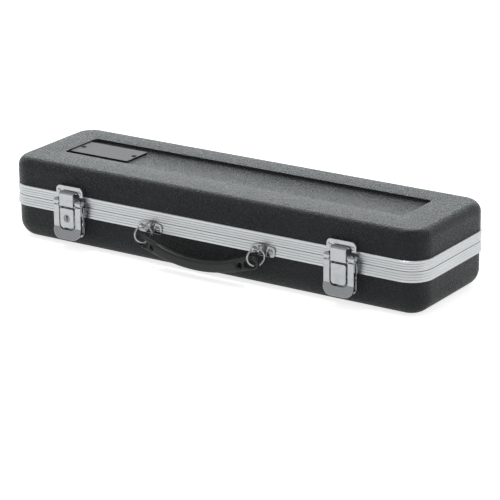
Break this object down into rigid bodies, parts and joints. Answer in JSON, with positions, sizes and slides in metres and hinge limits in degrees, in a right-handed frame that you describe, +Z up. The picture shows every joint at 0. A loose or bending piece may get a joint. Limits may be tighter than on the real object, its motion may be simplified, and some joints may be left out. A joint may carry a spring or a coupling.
{
  "type": "flute case",
  "caption": "Hard moulded case for a flute: hinged lid with a sunk panel, ribbed metal band, draw latches, ring-mounted grip and a plush-lined foam tray.",
  "frame": {"origin": "centre of the flat underside of the base shell", "axes": "+X along the length to the right as the latches are faced, -Y out of the latch side, +Z up out of the lid"},
  "size_m": [0.434, 0.1392, 0.0762],
  "materials": {
    "abs_shell": "black textured moulding, fine pebble grain",
    "band": "satin anodised extrusion, ribbed lengthways",
    "foam": "moulded foam block",
    "plush": "short black plush",
    "nameplate": "brushed, left bare",
    "black_rivet": "black drive rivet",
    "grip": "moulded, slight sheen",
    "chrome": "bright plated steel",
    "rivet_steel": "nickel plated",
    "zinc_steel": "nickel plated"
  },
  "bodies": {
    "base": {"base_shell": "abs_shell", "base_band": "band", "base_foam": "foam", "base_plush": "plush", "left_latch_plate": "chrome", "left_plate_rivets": "rivet_steel", "left_lever_pins": "rivet_steel", "left_lock_case": "chrome", "right_latch_plate": "chrome", "right_plate_rivets": "rivet_steel", "right_lever_pins": "rivet_steel", "right_blank_case": "chrome", "left_bracket": "chrome", "left_bracket_rivets": "rivet_steel", "right_bracket": "chrome", "right_bracket_rivets": "rivet_steel", "left_hinge_base_leaf": "zinc_steel", "left_hinge_pin": "zinc_steel", "left_hinge_base_rivets": "zinc_steel", "right_hinge_base_leaf": "zinc_steel", "right_hinge_pin": "zinc_steel", "right_hinge_base_rivets": "zinc_steel"},
    "lid": {"lid_shell": "abs_shell", "lid_band": "band", "lid_foam": "foam", "lid_plush": "plush", "nameplate": "nameplate", "nameplate_rivets": "black_rivet", "left_keeper": "chrome", "left_keeper_rivets": "rivet_steel", "right_keeper": "chrome", "right_keeper_rivets": "rivet_steel", "left_hinge_lid_leaf": "zinc_steel", "left_hinge_lid_rivets": "zinc_steel", "right_hinge_lid_leaf": "zinc_steel", "right_hinge_lid_rivets": "zinc_steel"},
    "left_lever": {"left_lever": "chrome", "left_claw_pin": "rivet_steel"},
    "left_claw": {"left_claw": "chrome"},
    "right_lever": {"right_lever": "chrome", "right_claw_pin": "rivet_steel"},
    "right_claw": {"right_claw": "chrome"},
    "lock": {"left_lock_plug": "rivet_steel", "left_lock_cam": "rivet_steel"},
    "left_ring": {"left_ring": "chrome"},
    "right_ring": {"right_ring": "chrome"},
    "grip": {"handle_grip": "grip"}
  },
  "joints": [
    {"name": "lid_hinge", "type": "hinge", "parent": "base", "child": "lid", "pos_m": [0, 0.0623, 0.0416], "axis": [-1, 0, 0], "range_deg": [0, 105]},
    {"name": "left_lever_pivot", "type": "hinge", "parent": "base", "child": "left_lever", "pos_m": [-0.1447, -0.065, 0.046], "axis": [-1, 0, 0], "range_deg": [0, 145]},
    {"name": "left_claw_pivot", "type": "hinge", "parent": "left_lever", "child": "left_claw", "pos_m": [-0.1447, -0.0674, 0.0431], "axis": [-1, 0, 0], "range_deg": [-175, 0]},
    {"name": "right_lever_pivot", "type": "hinge", "parent": "base", "child": "right_lever", "pos_m": [0.1417, -0.065, 0.046], "axis": [-1, 0, 0], "range_deg": [0, 145]},
    {"name": "right_claw_pivot", "type": "hinge", "parent": "right_lever", "child": "right_claw", "pos_m": [0.1417, -0.0674, 0.0431], "axis": [-1, 0, 0], "range_deg": [-175, 0]},
    {"name": "lock_turn", "type": "hinge", "parent": "base", "child": "lock", "pos_m": [-0.1447, -0.065, 0.0311], "axis": [0, 1, 0], "range_deg": [0, 90]},
    {"name": "left_ring_swing", "type": "hinge", "parent": "base", "child": "left_ring", "pos_m": [-0.058, -0.0646, 0.0372], "axis": [-1, 0, 0], "range_deg": [0, 90]},
    {"name": "right_ring_swing", "type": "hinge", "parent": "base", "child": "right_ring", "pos_m": [0.0608, -0.0646, 0.0372], "axis": [-1, 0, 0], "range_deg": [0, 90]},
    {"name": "grip_tilt", "type": "hinge", "parent": "left_ring", "child": "grip", "pos_m": [-0.06039, -0.0679, 0.02328], "axis": [-1, 0, 0], "range_deg": [-3, 7]}
  ],
  "couplings": [
    {"joint": "left_claw_pivot", "follows": "left_lever_pivot", "ratio": -1.15},
    {"joint": "right_claw_pivot", "follows": "right_lever_pivot", "ratio": -1.15},
    {"joint": "right_ring_swing", "follows": "left_ring_swing", "ratio": 1}
  ]
}
